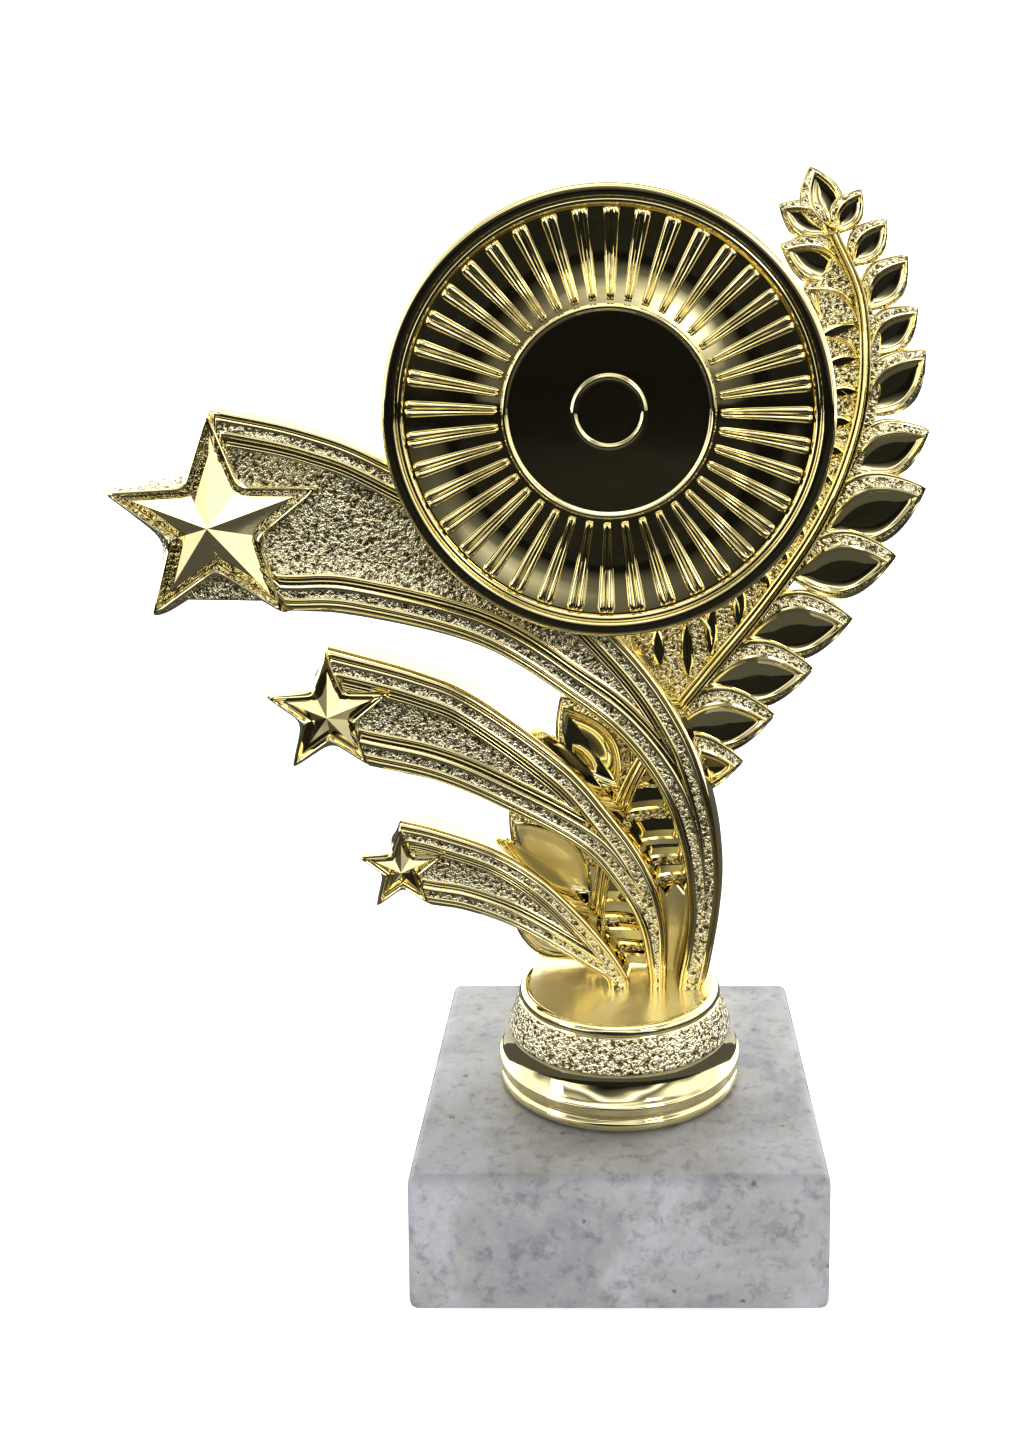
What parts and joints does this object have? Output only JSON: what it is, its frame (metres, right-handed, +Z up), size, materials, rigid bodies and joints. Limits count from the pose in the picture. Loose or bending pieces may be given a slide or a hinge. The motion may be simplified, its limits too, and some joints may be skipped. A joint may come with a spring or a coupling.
{
  "type": "star trophy",
  "caption": "Trophy with shooting-star arms, a ribbed round disc and a laurel spray in mirror gold on a round collar and a square grey marble block.",
  "frame": {"origin": "centre of the felt underside, on the axis of the round collar and the block", "axes": "+Z up, the decorated front faces -Y, +X to the viewer's right as seen from the front"},
  "size_m": [0.1307, 0.061, 0.168],
  "materials": {
    "plated_gold": "moulded plastic, vacuum plated in pale mirror gold",
    "marble": "polished grey marble with dark specks",
    "zinc_steel": "zinc plated",
    "felt": "dark felt"
  },
  "bodies": {
    "root": {"marble_base": "marble", "felt_sheet": "felt", "collar": "plated_gold", "star_arm_large": "plated_gold", "star_arm_middle": "plated_gold", "star_arm_small": "plated_gold", "laurel_spray": "plated_gold", "ribbed_disc": "plated_gold", "stud": "zinc_steel", "captive_nut": "zinc_steel", "lower_nut": "zinc_steel", "washer": "zinc_steel"}
  },
  "joints": []
}
